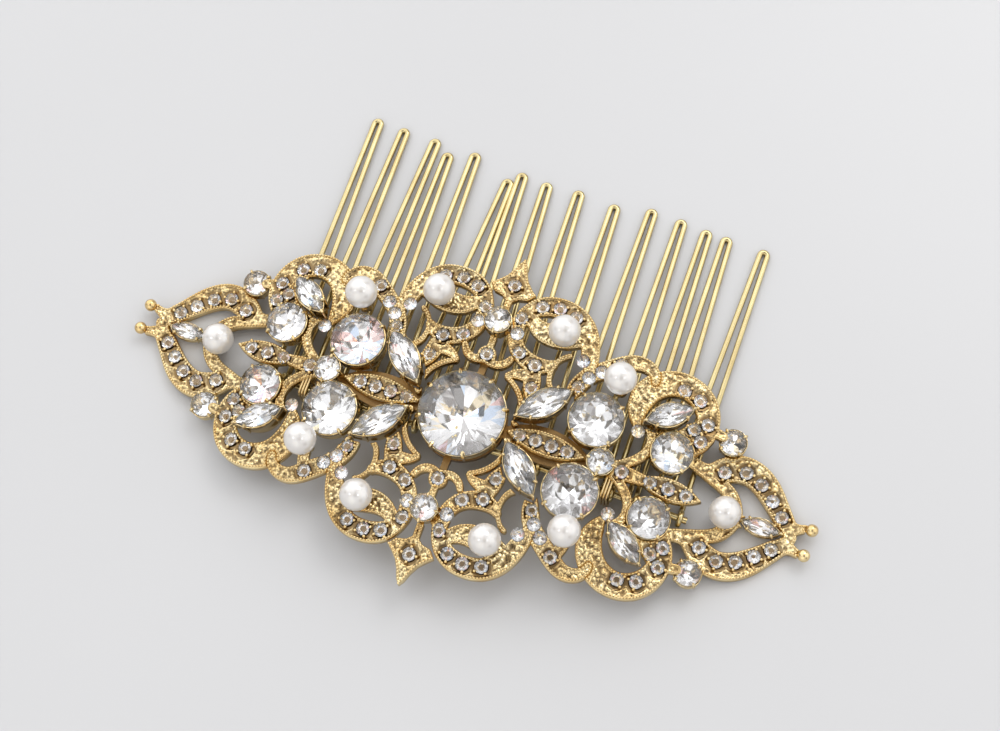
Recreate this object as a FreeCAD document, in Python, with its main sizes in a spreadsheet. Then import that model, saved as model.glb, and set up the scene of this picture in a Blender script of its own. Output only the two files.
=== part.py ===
"""Decorative hair comb: a jewelled, domed ornament lashed to a wire comb.

Frame: X along the ornament, Y toward the tips of the teeth, Z up from the
surface that the comb lies on. The ornament mirrors about X = 0 and about its
own centre line, so pieces are designed in the right rear quadrant and mirrored.
"""
import FreeCAD, Part
import math
import os

from FreeCAD import Placement, Rotation, Vector

doc = FreeCAD.newDocument("hair_comb")

# ---------------------------------------------------------------- driving sizes

DIMENSIONS = {
    "centre_line_y": -8.3,
    "crown_height": 7.4,
    "dome_radius": 213.0,
    "dome_wall": 1.25,
    "underplate_wall": 1.0,
    "blank_height": 14.0,
    "tip_ball_radius": 0.9,
    "centre_stone_radius": 6.2,
    "large_stone_radius": 3.95,
    "small_stone_radius": 3.0,
    "accent_stone_radius": 1.95,
    "pave_stone_radius": 0.95,
    "cup_inset": 0.05,
    "claw_radius": 0.25,
    "claw_foot": 0.5,
    "centre_cup_depth": 2.1,
    "large_cup_depth": 2.7,
    "small_cup_depth": 2.2,
    "accent_cup_depth": 2.75,
    "drop_cup_depth": 2.0,
    "navette_wall": 0.25,
    "petal_half_length": 4.35,
    "petal_half_width": 2.0,
    "petal_cup_depth": 3.4,
    "crescent_half_length": 3.6,
    "crescent_half_width": 1.75,
    "crescent_cup_depth": 3.3,
    "end_half_length": 2.9,
    "end_half_width": 1.3,
    "end_cup_depth": 1.5,
    "pave_rise": 0.05,
    "post_foot_depth": 3.0,
    "pearl_radius": 2.3,
    "pearl_bore_radius": 0.45,
    "pearl_dish_radius": 1.3,
    "wire_radius": 0.4,
    "rail_radius": 0.5,
    "winding_radius": 0.93,
    "rail_crown_height": 3.85,
    "rail_arch_radius": 291.0,
    "rail_setback": 2.6,
    "tooth_tip_radius": 0.55,
    "lashing_radius": 0.17,
    "lashing_pitch": 0.42,
    "lashing_reach": 1.7,
    "lashing_corner": 0.8,
    "lashing_slack": 0.9,
    "lashing_sink": 0.3,
}

sheet = doc.addObject("Spreadsheet::Sheet", "dims")
for row, (alias, value) in enumerate(DIMENSIONS.items(), start=1):
    sheet.set("A%d" % row, alias)
    sheet.set("B%d" % row, str(value))
    sheet.setAlias("B%d" % row, alias)
doc.recompute()


def size(alias):
    """Read one driving size from the spreadsheet."""
    return float(sheet.get(alias))


centre_line_y = size("centre_line_y")
crown_height = size("crown_height")
dome_radius = size("dome_radius")
dome_wall = size("dome_wall")
DOME_EDGE = 34.0
sub_parts = []


def point(along, across, height=0.0):
    """A point given from the ornament's centre: along X, across to the teeth, up."""
    return Vector(along, across + centre_line_y, height)


def dome_height(along, across):
    """Height of the castings' top face on the dome."""
    return crown_height - (along ** 2 + across ** 2) / (2 * dome_radius)


def dome_lean(along, across):
    """Rotation that stands a setting square on the dome; the end wings lie level."""
    if abs(along) > DOME_EDGE:
        return Rotation()
    return Rotation(Vector(0, 0, 1), Vector(along, across, dome_radius))


def quadrants(settings):
    """Repeat (along, across, height) settings in all four quadrants, once each."""
    places = []
    for along, across, height in settings:
        for sign_x in (1, -1):
            for sign_y in (1, -1):
                place = (sign_x * along, sign_y * across, height)
                if place not in places:
                    places.append(place)
    return places


def keep(feature, label):
    """Name a finished sub-part and add it to the list that is exported."""
    feature.Label = label
    sub_parts.append(feature)
    return feature


def primitive(kind, name, placement=None, **expressions):
    """Add a Part primitive whose sizes are bound to the spreadsheet."""
    feature = doc.addObject(kind, name)
    for prop, expression in expressions.items():
        feature.setExpression(prop, expression)
    if placement is not None:
        feature.Placement = placement
    return feature


def combine(kind, name, shapes):
    """Add a Part::MultiFuse or a Part::Compound of several features."""
    feature = doc.addObject(kind, name)
    if kind == "Part::Compound":
        feature.Links = shapes
    else:
        feature.Shapes = shapes
    return feature


def boolean(kind, name, base, tool):
    """Add a Part::Cut or a Part::Common of two features."""
    feature = doc.addObject(kind, name)
    feature.Base = base
    feature.Tool = tool
    return feature


def repeat(name, prototype, placements):
    """Repeat a prototype at each placement, as one group of separate solids."""
    doc.recompute()
    copies = [prototype.Shape.transformed(placement.toMatrix()) for placement in placements]
    group = doc.addObject("Part::Feature", name)
    group.Shape = Part.makeCompound(copies)
    return group


def on_dome(places, turn=lambda along, across: 0.0):
    """Placements square to the dome, each turned about its own axis by turn()."""
    placements = []
    for along, across, height in places:
        spin = Rotation(Vector(0, 0, 1), turn(along, across))
        rotation = dome_lean(along, across).multiply(spin)
        placements.append(Placement(point(along, across, height), rotation))
    return placements


# ------------------------------------------------------------ stones and pearls

# Where the settings stand: along, across, height of the girdle or pearl centre.
CENTRE_ROUND = [(0.0, 0.0, 8.26)]
LARGE_ROUND = [(17.78, 5.35, 8.07)]
SMALL_ROUND = [(28.9, 4.89, 6.15)]
ACCENT_ROUND = [(20.3, 0.0, 7.95), (0.0, 14.3, 8.93)]
DROP_ROUND = [(36.16, 9.73, 3.4)]
PETALS = [(10.38, 4.95, 9.27)]
CRESCENT_NAVETTES = [(27.0, 9.52, 7.6)]
END_NAVETTES = [(43.4, 0.0, 1.87)]
OUTER_PEARLS = [(19.25, 11.3, 10.6)]
INNER_PEARLS = [(9.4, 15.75, 8.97)]
WING_PEARLS = [(38.2, 0.0, 3.36)]

# Small pave stones: along, across.
WING_PAVE = [(36.4, 5.6), (39.2, 6.6), (41.7, 5.75), (43.8, 4.1), (45.7, 2.4)]
CRESCENT_PAVE = [(27.6, 14.1), (30.1, 13.5), (32.2, 10.6), (30.6, 9.3), (32.0, 7.9), (23.5, 6.2)]
OUTER_SCROLL_PAVE = [(13.7, 9.3), (14.6, 11.05), (13.0, 13.1), (16.0, 12.5), (18.2, 14.5)]
INNER_SCROLL_PAVE = [
    (4.9, 18.8), (7.3, 19.4), (9.9, 18.9), (2.7, 16.2), (2.95, 13.8), (4.2, 11.2), (6.9, 10.2), (7.6, 6.9),
]
LEAF_PAVE = [(along, 0.0) for along in (8.4, 10.8, 13.1, 15.4, 23.3, 27.4, 30.0, 32.6)]
CREST_PAVE = [(0.0, 9.5), (0.0, 20.6)]


def round_stone(name, radius):
    """A pointed-back round stone, its girdle at height 0: crown, girdle, pavilion."""
    crown = primitive(
        "Part::Cone", name + "_crown", Placement(Vector(0, 0, 0.04 * size(radius)), Rotation()),
        Radius1="dims." + radius, Radius2="0.56 * dims." + radius, Height="0.32 * dims." + radius)
    girdle = primitive(
        "Part::Cylinder", name + "_girdle", Placement(Vector(0, 0, -0.04 * size(radius)), Rotation()),
        Radius="dims." + radius, Height="0.08 * dims." + radius)
    pavilion = primitive(
        "Part::Cone", name + "_pavilion", Placement(Vector(0, 0, -0.76 * size(radius)), Rotation()),
        Radius1="0.12 * dims." + radius, Radius2="dims." + radius, Height="0.72 * dims." + radius)
    return combine("Part::MultiFuse", name, [crown, girdle, pavilion])


def round_cup(name, stone, radius, depth, claws, first_claw=0.5):
    """A straight-walled setting with upright claws, seated exactly to its stone."""
    wall = primitive(
        "Part::Cylinder", name + "_wall", Placement(Vector(0, 0, -size(depth)), Rotation()),
        Radius="dims.%s - dims.cup_inset" % radius, Height="dims.%s - 0.04 * dims.%s" % (depth, radius))
    solids = [wall]
    reach = size(radius)
    for claw in range(claws):
        angle = 2 * math.pi * (claw + first_claw) / claws
        foot = Vector(reach * math.cos(angle), reach * math.sin(angle), -size("claw_foot"))
        peg = primitive("Part::Cylinder", "%s_claw_%d" % (name, claw), Placement(foot, Rotation()),
                        Radius="dims.claw_radius", Height="dims.claw_foot + 0.3 * dims." + radius)
        solids.append(peg)
    return boolean("Part::Cut", name, combine("Part::MultiFuse", name + "_blank", solids), stone)


def lens_wire(half_length, half_width, height):
    """A pointed oval of two arcs, level at the given height."""
    left = Vector(-half_length, 0, height)
    right = Vector(half_length, 0, height)
    upper = Part.Arc(left, Vector(0, half_width, height), right).toShape()
    lower = Part.Arc(right, Vector(0, -half_width, height), left).toShape()
    return Part.Wire([upper, lower])


def navette_stone(name, half_length, half_width):
    """A boat-shaped stone, its girdle at height 0."""
    table = lens_wire(0.55 * half_length, 0.5 * half_width, 0.42 * half_width)
    upper_girdle = lens_wire(half_length, half_width, 0.05 * half_width)
    lower_girdle = lens_wire(half_length, half_width, -0.05 * half_width)
    keel = lens_wire(0.3 * half_length, 0.1 * half_width, -0.85 * half_width)
    crown = Part.makeLoft([upper_girdle, table], True, True)
    girdle = Part.makeLoft([lower_girdle, upper_girdle], True, True)
    pavilion = Part.makeLoft([keel, lower_girdle], True, True)
    feature = doc.addObject("Part::Feature", name)
    feature.Shape = crown.fuse([girdle, pavilion])
    return feature


def navette_cup(name, stone, half_length, half_width, depth):
    """A boat-shaped setting, seated exactly to its stone."""
    wall = size("navette_wall")
    blank = doc.addObject("Part::Feature", name + "_blank")
    outline = lens_wire(half_length + 1.4 * wall, half_width + wall, -depth)
    blank.Shape = Part.Face(outline).extrude(Vector(0, 0, depth))
    return boolean("Part::Cut", name, blank, stone)


def round_setting(stone_label, cup_label, radius, settings, depth, first_claw=0.5):
    """Round stones and their four-claw cups, repeated over the ornament."""
    stone = round_stone(stone_label + "_one", radius)
    cup = round_cup(cup_label + "_one", stone, radius, depth, 4, first_claw)
    placements = on_dome(quadrants(settings))
    keep(repeat(stone_label, stone, placements), stone_label)
    keep(repeat(cup_label, cup, placements), cup_label)
    return repeat(cup_label + "_walls", doc.getObject(cup_label + "_one_wall"), placements)


def navette_setting(stone_label, cup_label, settings, family, angle):
    """Boat-shaped stones and their cups, pointing away from the centre."""
    half_length, half_width = size(family + "_half_length"), size(family + "_half_width")
    stone = navette_stone(stone_label + "_one", half_length, half_width)
    cup = navette_cup(cup_label + "_one", stone, half_length, half_width, size(family + "_cup_depth"))

    def turn(along, across):
        return angle if along * across >= 0 else -angle

    placements = on_dome(quadrants(settings), turn)
    keep(repeat(stone_label, stone, placements), stone_label)
    keep(repeat(cup_label, cup, placements), cup_label)
    return repeat(cup_label + "_walls", doc.getObject(cup_label + "_one_blank"), placements)


centre_stone = round_stone("centre_crystal_one", "centre_stone_radius")
centre_places = on_dome(CENTRE_ROUND)
centre_crystal = keep(repeat("centre_crystal", centre_stone, centre_places), "centre_crystal")
centre_blank = round_cup("centre_cup_one", centre_stone, "centre_stone_radius", "centre_cup_depth", 8)
centre_cup = keep(repeat("centre_cup", centre_blank, centre_places), "centre_cup")
centre_wall = repeat("centre_cup_walls", doc.getObject("centre_cup_one_wall"), centre_places)

large_cups = round_setting(
    "large_crystals", "large_cups", "large_stone_radius", LARGE_ROUND, "large_cup_depth")
small_cups = round_setting(
    "small_crystals", "small_cups", "small_stone_radius", SMALL_ROUND, "small_cup_depth")
accent_cups = round_setting(
    "accent_crystals", "accent_cups", "accent_stone_radius", ACCENT_ROUND, "accent_cup_depth", 0.0)
drop_cups = round_setting("drop_crystals", "drop_cups", "accent_stone_radius", DROP_ROUND, "drop_cup_depth")
petal_cups = navette_setting("petal_crystals", "petal_cups", PETALS, "petal", 45.0)
crescent_cups = navette_setting(
    "crescent_navette_crystals", "crescent_navette_cups", CRESCENT_NAVETTES, "crescent", 35.0)
end_cups = navette_setting("end_navette_crystals", "end_navette_cups", END_NAVETTES, "end", 0.0)


def pearl_post(name, foot_depth):
    """A peg with a dish under the pearl, and a post down to the casting."""
    dish_height = 0.75
    dish_top = -0.7 * size("pearl_radius")
    peg = primitive("Part::Cylinder", name + "_peg", Placement(Vector(0, 0, dish_top), Rotation()),
                    Radius="dims.pearl_bore_radius", Height="0.9 * dims.pearl_radius")
    dish_place = Placement(Vector(0, 0, dish_top - dish_height), Rotation())
    dish = primitive("Part::Cone", name + "_dish", dish_place,
                     Radius1="0.45 * dims.pearl_dish_radius", Radius2="dims.pearl_dish_radius")
    dish.Height = dish_height
    solids = [peg, dish]
    if foot_depth > 0:
        foot = primitive("Part::Cylinder", name + "_foot",
                         Placement(Vector(0, 0, dish_top - dish_height - foot_depth), Rotation()),
                         Radius="0.45 * dims.pearl_dish_radius")
        foot.Height = foot_depth
        solids.append(foot)
    blank = combine("Part::MultiFuse", name + "_blank", solids)
    return boolean("Part::Cut", name, blank, pearl)


def make_pearl():
    """A round pearl with a blind bore for its peg."""
    ball = primitive("Part::Sphere", "pearl_ball", Radius="dims.pearl_radius")
    bore = primitive("Part::Cylinder", "pearl_bore", Radius="dims.pearl_bore_radius",
                     Height="1.2 * dims.pearl_radius")
    bore.setExpression("Placement.Base.z", "-1.0 * dims.pearl_radius")
    return boolean("Part::Cut", "pearl_one", ball, bore)


pearl = make_pearl()
all_pearls = OUTER_PEARLS + INNER_PEARLS + WING_PEARLS
pearls = keep(repeat("pearls", pearl, on_dome(quadrants(all_pearls))), "pearls")
tall_post = repeat(
    "tall_posts", pearl_post("tall_post_one", size("post_foot_depth")), on_dome(quadrants(OUTER_PEARLS)))
short_post = repeat("short_posts", pearl_post("short_post_one", 0.0), on_dome(quadrants(INNER_PEARLS)))
wing_post = repeat("wing_posts", pearl_post("wing_post_one", 0.0), on_dome(quadrants(WING_PEARLS)))
all_posts = combine("Part::Compound", "pearl_posts", [tall_post, short_post, wing_post])
pearl_posts = keep(all_posts, "pearl_posts")

# -------------------------------------------------------------- cast silhouettes

# Each band is a centre line of (along, across, half width), drawn as a smooth curve.
WING_EDGE = [
    (49.9, 1.85, 0.5), (48.4, 1.6, 0.75), (47.2, 1.45, 1.2), (45.75, 2.55, 1.45), (44.05, 4.35, 1.7),
    (41.95, 6.1, 1.9), (39.25, 7.0, 1.95), (36.2, 6.0, 1.75), (34.2, 5.0, 1.2), (32.2, 5.3, 0.9),
    (30.0, 6.0, 0.9),
]
WING_STRAP = [(33.4, 4.6, 0.6), (35.3, 4.1, 0.8), (37.6, 3.3, 1.0), (39.2, 1.6, 1.0), (39.8, 0.0, 0.9)]
WING_BRIDGE = [(38.6, 0.0, 0.9), (43.0, 0.0, 0.8), (47.6, 0.0, 0.9)]
WING_DROP_LINK = [(37.4, 6.0, 0.7), (36.7, 8.2, 0.6)]
CRESCENT_BAR = [(23.2, 7.0, 0.7), (27.0, 7.6, 0.8), (30.3, 8.9, 1.2), (32.3, 10.4, 1.2)]
CRESCENT_DROP_LINK = [(31.8, 10.4, 0.8), (34.6, 9.9, 0.7)]
OUTER_BAND = [
    (12.9, 7.2, 0.6), (13.3, 8.8, 1.15), (14.2, 11.0, 1.25), (16.0, 12.8, 1.25), (18.2, 14.5, 1.3),
    (20.4, 15.7, 1.1), (22.5, 15.3, 0.9), (23.4, 13.8, 0.6),
]
OUTER_SEAT = [(18.2, 14.6, 0.9), (19.0, 13.0, 0.8), (19.25, 11.1, 0.9)]
INNER_BAND = [
    (14.3, 12.2, 0.9), (13.3, 15.2, 1.35), (12.2, 17.4, 1.4), (10.3, 19.0, 1.5), (7.5, 19.6, 1.5),
    (4.8, 18.9, 1.4), (3.0, 17.0, 1.1), (2.6, 14.3, 1.1), (3.6, 11.9, 1.15), (6.6, 10.4, 1.25),
    (9.2, 11.2, 0.7),
]
INNER_SEAT = [(4.3, 16.5, 1.0), (6.5, 15.4, 1.5), (9.2, 15.6, 1.7), (12.4, 16.8, 1.2)]
FLEUR_STEM = [(6.9, 10.0, 0.8), (7.5, 7.2, 1.2), (8.2, 5.0, 0.5)]
FLEUR_LEAF = [(7.4, 8.4, 0.9), (5.3, 8.3, 0.8), (3.7, 7.6, 0.3)]
CENTRE_RIM = [(3.8, 7.3, 0.35), (6.2, 5.6, 0.4), (7.3, 3.4, 0.4), (7.2, 1.4, 0.5)]
TEARDROP_RIM = [(11.0, 13.2, 0.4), (9.3, 10.6, 0.35), (9.7, 8.4, 0.4), (12.9, 7.4, 0.4)]
LEAF_STRAP = [(21.9, 0.7, 0.5), (24.0, 1.9, 0.7), (25.6, 4.2, 0.7), (25.0, 7.0, 0.7)]
LEAF_LINK = [(21.6, 0.0, 0.95), (23.2, 0.0, 1.05), (26.4, 0.0, 0.8)]
CREST_STEM = [(0.0, 8.6, 0.5), (0.0, 13.0, 0.5), (0.0, 18.3, 0.5)]
CREST_ARM = [(0.0, 8.9, 0.55), (2.2, 8.6, 0.6), (3.4, 9.9, 0.5)]
CREST_SEAT = [(-0.6, 14.3, 1.5), (0.6, 14.3, 1.5)]
FRAME_ARM = [(0.0, 5.0, 0.65), (0.0, 7.5, 0.5), (0.0, 9.6, 0.6)]


def band_face(band):
    """A flat face around a centre line of changing half width, with round ends."""
    guide = Part.BSplineCurve()
    guide.interpolate([Vector(along, across, half_width) for along, across, half_width in band])
    stations = 2 * len(band) + 1
    left, right = [], []
    for station in range(stations):
        place = guide.FirstParameter
        place += (guide.LastParameter - guide.FirstParameter) * station / (stations - 1)
        centre, heading = guide.getD1(place)
        heading = Vector(heading.x, heading.y, 0).normalize()
        offset = Vector(-heading.y, heading.x, 0) * centre.z
        level = point(centre.x, centre.y)
        left.append(level + offset)
        right.append(level - offset)
        if station == 0:
            start_cap = level - heading * centre.z
    end_cap = level + heading * centre.z
    left_edge = Part.BSplineCurve()
    left_edge.interpolate(left)
    right_edge = Part.BSplineCurve()
    right_edge.interpolate(list(reversed(right)))
    outline = Part.Wire([
        left_edge.toShape(), Part.Arc(left[-1], end_cap, right[-1]).toShape(),
        right_edge.toShape(), Part.Arc(right[0], start_cap, left[0]).toShape(),
    ])
    return Part.Face(outline)


def mirrored_band(band):
    """The same band on the other side of the ornament's centre line."""
    return [(along, -across, half_width) for along, across, half_width in band]


def swapped_band(band):
    """The same band on the other side of X = 0."""
    return [(-along, across, half_width) for along, across, half_width in band]


def lens_face(near, far, half_width, drop=0.0):
    """A pointed oval face on the centre line, from near to far along X."""
    outline = lens_wire((far - near) / 2, half_width, drop)
    outline.translate(point((near + far) / 2, 0.0))
    return Part.Face(outline)


def disc_face(along, across, radius):
    """A round face."""
    return Part.Face(Part.Wire(Part.makeCircle(radius, point(along, across))))


def crescent_face():
    """The big C-shaped scroll: an arc band that tapers to its inner hook."""
    centre_along, centre_across, radius = 27.3, 9.9, 4.95
    widths = [(-38, 1.2), (0, 1.55), (50, 1.8), (95, 1.85), (140, 1.9), (175, 1.7), (205, 1.0), (222, 0.5)]
    band = []
    for degrees, half_width in widths:
        angle = math.radians(degrees)
        along = centre_along + radius * math.cos(angle)
        band.append((along, centre_across + radius * math.sin(angle), half_width))
    return band_face(band)


def crest_face():
    """The pointed crest: a small spade with concave sides and a sharp tip."""
    half = [
        (0.0, 25.0), (0.55, 24.2), (1.0, 23.0), (1.65, 21.8), (2.5, 20.9), (3.4, 20.1), (2.5, 19.0),
        (1.2, 18.7), (0.0, 17.6),
    ]
    right = [point(along, across) for along, across in half]
    left = [point(-along, across) for along, across in reversed(half)]
    corners = right + left[1:]
    return Part.Face(Part.makePolygon(corners))


def merged_face(faces):
    """One flat face, facing up, from several that overlap."""
    upward = []
    for face in faces:
        flipped = face.normalAt(0.5, 0.5).z < 0
        upward.append(face.reversed() if flipped else face)
    return upward[0] if len(upward) == 1 else upward[0].multiFuse(upward[1:]).removeSplitter()


def near_enough(shape, tool):
    """True where a solid of the tool may reach the shape."""
    return any(shape.BoundBox.intersect(solid.BoundBox) for solid in tool.Shape.Solids)


def casting(label, faces, shell, tools):
    """A cast piece: its flat silhouette, raised, trimmed to a shell and cut back."""
    outline = doc.addObject("Part::Feature", label + "_outline")
    outline.Shape = merged_face(faces)
    blank = doc.addObject("Part::Extrusion", label + "_blank")
    blank.Base = outline
    blank.DirMode = "Custom"
    blank.Dir = Vector(0, 0, 1)
    blank.setExpression("LengthFwd", "dims.blank_height")
    blank.Solid = True
    piece = boolean("Part::Common", label + "_trimmed", blank, shell)
    doc.recompute()
    for tool in tools:
        if near_enough(piece.Shape, tool):
            piece = boolean("Part::Cut", "%s_less_%s" % (label, tool.Name), piece, tool)
            doc.recompute()
    return piece


def mirror(source, label, normal):
    """A mirrored copy of a cast piece about the ornament's centre."""
    copy = doc.addObject("Part::Mirroring", label)
    copy.Source = source
    copy.Base = point(0, 0)
    copy.Normal = normal
    return copy


def four_quadrants(label, source):
    """Keep a right rear piece with its three mirrored copies."""
    keep(source, label + "_rear_right")
    front = mirror(source, label + "_front_right", Vector(0, 1, 0))
    keep(front, label + "_front_right")
    keep(mirror(source, label + "_rear_left", Vector(1, 0, 0)), label + "_rear_left")
    keep(mirror(front, label + "_front_left", Vector(1, 0, 0)), label + "_front_left")


def two_sides(label, source, names, normal):
    """Keep a piece that lies on one axis with its mirrored copy."""
    keep(source, "%s_%s" % (label, names[0]))
    keep(mirror(source, "%s_%s" % (label, names[1]), normal), "%s_%s" % (label, names[1]))


def dome_shell(name, top_drop, wall_alias):
    """A spherical shell, its top face top_drop below the castings' top."""
    centre = point(0, 0, crown_height - dome_radius)
    placement = Placement(centre, Rotation())
    outer = primitive("Part::Sphere", name + "_outer", placement,
                      Radius="dims.dome_radius - %g" % top_drop)
    inner = primitive("Part::Sphere", name + "_inner", placement,
                      Radius="dims.dome_radius - %g - dims.%s" % (top_drop, wall_alias))
    return boolean("Part::Cut", name, outer, inner)


# The end wings' bent sheet: along, height of the top face, wall.
WING_PROFILE = [
    (28.6, 3.95, 0.9), (31.0, 3.15, 0.9), (34.0, 2.5, 1.0), (38.0, 2.1, 1.15), (42.0, 1.6, 1.2),
    (45.6, 1.2, 1.2), (48.4, 1.75, 1.2), (51.6, 2.75, 1.2),
]
WING_HALF_BREADTH = 12.0
# Centre of a wing's tip ball: along, across, height.
TIP_BALL_CENTRE = (50.1, 1.85, 2.0)


def wing_shell():
    """The bent sheet that the end wings lie in, as a long profile across the comb."""
    upper = Part.BSplineCurve()
    upper.interpolate([Vector(along, 0, height) for along, height, wall in WING_PROFILE])
    lower = Part.BSplineCurve()
    lower.interpolate([Vector(along, 0, height - wall) for along, height, wall in reversed(WING_PROFILE)])
    first = Part.LineSegment(lower.EndPoint, upper.StartPoint).toShape()
    last = Part.LineSegment(upper.EndPoint, lower.StartPoint).toShape()
    profile = Part.Face(Part.Wire([first, upper.toShape(), last, lower.toShape()]))
    profile.translate(point(0, -WING_HALF_BREADTH))
    feature = doc.addObject("Part::Feature", "wing_shell")
    feature.Shape = profile.extrude(Vector(0, 2 * WING_HALF_BREADTH, 0))
    return feature


def wing_height(along):
    """Height of the wing's top face, straight between the points of its profile."""
    for (near, near_height, _), (far, far_height, _) in zip(WING_PROFILE, WING_PROFILE[1:]):
        if near <= along <= far:
            return near_height + (far_height - near_height) * (along - near) / (far - near)
    raise ValueError("off the wing: %g" % along)


# ------------------------------------------------------------ small pave stones

pave = round_stone("pave_one", "pave_stone_radius")


def pave_group(label, spots, height):
    """A group of small stones sunk in one kind of casting."""
    places = quadrants([(along, across, height(along, across)) for along, across in spots])
    return keep(repeat(label, pave, on_dome(places)), label)


def pave_on_dome(along, across):
    return dome_height(along, across) + size("pave_rise")


def pave_on_wing(along, across):
    return wing_height(along) + size("pave_rise")


wing_pave = pave_group("wing_pave_stones", WING_PAVE, pave_on_wing)
crescent_pave = pave_group("crescent_pave_stones", CRESCENT_PAVE, pave_on_dome)
scroll_pave = pave_group("scroll_pave_stones", OUTER_SCROLL_PAVE + INNER_SCROLL_PAVE, pave_on_dome)
axis_pave = pave_group("axis_pave_stones", LEAF_PAVE + CREST_PAVE, pave_on_dome)

# ---------------------------------------------------------------------- the comb

# Each tooth: tip along, tip across, and where its two legs leave the rail.
TEETH = [
    (-29.8, 40.6, -29.2, -26.9), (-25.5, 40.4, -25.9, -23.4), (-20.4, 40.3, -21.5, -19.1),
    (-17.8, 38.8, -17.4, -14.9), (-13.9, 40.1, -13.2, -10.7), (-7.8, 37.7, -9.7, -6.4),
    (-6.1, 39.3, -4.7, -2.2), (-2.1, 39.0, -0.2, 2.5), (2.8, 39.3, 4.2, 6.8), (8.5, 38.9, 9.3, 11.9),
    (13.9, 40.0, 14.0, 16.5), (18.5, 39.8, 18.8, 21.4), (22.5, 39.4, 22.7, 25.1), (25.6, 39.3, 26.1, 28.6),
    (31.3, 39.1, 30.2, 32.6),
]
RAIL_ENDS = (-30.4, 33.6)
HOOK_SWEEP = 285
rail_across = -size("rail_setback")
wire_radius = size("wire_radius")
rail_arch_radius = size("rail_arch_radius")


def rail_height(along):
    """Height of the rail's centre line, which bows with the ornament."""
    return size("rail_crown_height") - along ** 2 / (2 * rail_arch_radius)


def make_rail():
    """The round bar that the teeth are wound on, bent to a shallow arch."""
    start, end = (math.asin(along / rail_arch_radius) for along in RAIL_ENDS)
    centre = point(0, rail_across, size("rail_crown_height") - rail_arch_radius)
    first = Vector(math.sin(start), 0, math.cos(start))
    second = Vector(math.cos(start), 0, -math.sin(start))
    rotation = Rotation(first, second, Vector(0, 1, 0), "ZXY")
    rail = primitive("Part::Torus", "comb_rail", Placement(centre, rotation),
                     Radius1="dims.rail_arch_radius", Radius2="dims.rail_radius")
    rail.Angle3 = math.degrees(end - start)
    return keep(rail, "comb_rail")


def hook_edge(foot, heading, up, radius, sweep_degrees):
    """An arc of wire that leaves a leg's foot backwards and passes round the rail."""
    centre = foot + up * radius

    def at(degrees):
        angle = math.radians(degrees)
        return centre - up * (radius * math.cos(angle)) - heading * (radius * math.sin(angle))

    return Part.Arc(at(sweep_degrees), at(sweep_degrees / 2), foot).toShape()


def tangent_point(outside, centre, radius, side):
    """Where a straight leg meets the round tip that it runs into."""
    away = outside - centre
    turn = math.atan2(away.y, away.x) + side * math.acos(radius / away.Length)
    return centre + Vector(radius * math.cos(turn), radius * math.sin(turn), 0)


def make_tooth(number, tip_along, tip_across, left, right):
    """One hairpin tooth of round wire, with each leg hooked round the rail."""
    label = "tooth_%02d" % number
    winding_radius = size("winding_radius")
    bend = size("tooth_tip_radius")
    roots = [point(along, rail_across, rail_height(along)) for along in (left, right)]
    tip = point(tip_along, tip_across, wire_radius + winding_radius)
    up = (roots[1] - roots[0]).cross(tip - roots[0]).normalize()
    along_axis = (roots[1] - roots[0]).normalize()
    frame = Placement(roots[0] - up * winding_radius, Rotation(along_axis, up.cross(along_axis), up, "XZY"))
    local_tip = frame.inverse().multVec(tip - up * winding_radius)
    middle = local_tip - Vector(0, bend, 0)
    feet = [Vector(0, 0, 0), Vector((roots[1] - roots[0]).Length, 0, 0)]
    joins = [tangent_point(feet[0], middle, bend, -1), tangent_point(feet[1], middle, bend, 1)]
    edges = [Part.Arc(joins[0], local_tip, joins[1]).toShape()]
    for foot, join in zip(feet, joins):
        heading = (join - foot).normalize()
        edges.append(Part.makeLine(foot, join))
        edges.append(hook_edge(foot, heading, Vector(0, 0, 1), winding_radius, HOOK_SWEEP))
    spine = doc.addObject("Part::Feature", label + "_spine")
    spine.Shape = Part.Wire(Part.__sortEdges__(edges))
    spine.Placement = frame
    start = spine.Shape.OrderedVertexes[0].Point
    first_edge = spine.Shape.OrderedEdges[0]
    tangent = first_edge.tangentAt(first_edge.FirstParameter)
    square_to_wire = Placement(start, Rotation(Vector(0, 0, 1), tangent))
    section = primitive("Part::Circle", label + "_section", square_to_wire, Radius="dims.wire_radius")
    hairpin = doc.addObject("Part::Sweep", label)
    hairpin.Sections = [section]
    hairpin.Spine = (spine, ["Edge%d" % (index + 1) for index in range(len(edges))])
    hairpin.Solid = True
    return keep(hairpin, label)


def make_lashings():
    """Three turns of thin wire at each of four places, round the rail and the ornament."""
    radius, pitch, corner = size("lashing_radius"), size("lashing_pitch"), size("lashing_corner")
    near, far = rail_across + size("lashing_reach"), rail_across - size("lashing_reach")
    loops = []
    for middle in LASHING_PLACES:
        for turn in (-1, 0, 1):
            along = middle + turn * pitch
            low = rail_height(along) - size("rail_radius") - radius - size("lashing_slack")
            high = dome_height(along, rail_across) - size("lashing_sink")
            corners = [(near, low), (near, high), (far, high), (far, low), (near, low)]
            wire = Part.makePolygon([point(along, across, height) for across, height in corners])
            loops.append(rounded_loop(wire, corner, radius))
    feature = doc.addObject("Part::Feature", "lashing_wires")
    feature.Shape = Part.makeCompound(loops)
    return feature


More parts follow.
